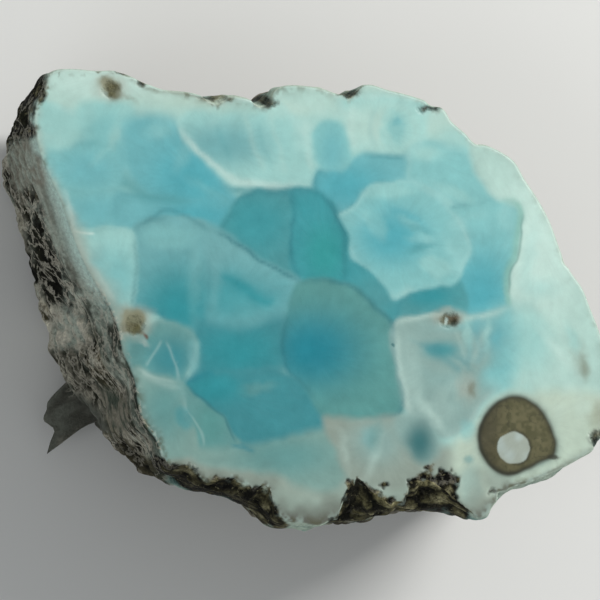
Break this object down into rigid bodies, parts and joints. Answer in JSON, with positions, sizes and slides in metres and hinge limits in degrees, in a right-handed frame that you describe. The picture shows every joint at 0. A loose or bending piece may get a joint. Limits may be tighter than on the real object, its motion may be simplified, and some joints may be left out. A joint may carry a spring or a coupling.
{
  "type": "rough larimar stone",
  "caption": "Palm-sized rough larimar with one flat sawn face of blue and white cells, a crumbly dark rind around it and a low rest facet on its back.",
  "frame": {"origin": "centre of the stone's box, on the surface that it lies on", "axes": "+X along the stone's length, to the right as the sawn face is looked at; +Y up the face; +Z out of the sawn face"},
  "size_m": [0.0745, 0.054, 0.025],
  "materials": {
    "larimar": "satin"
  },
  "bodies": {
    "root": {"larimar_stone": "larimar"}
  },
  "joints": []
}
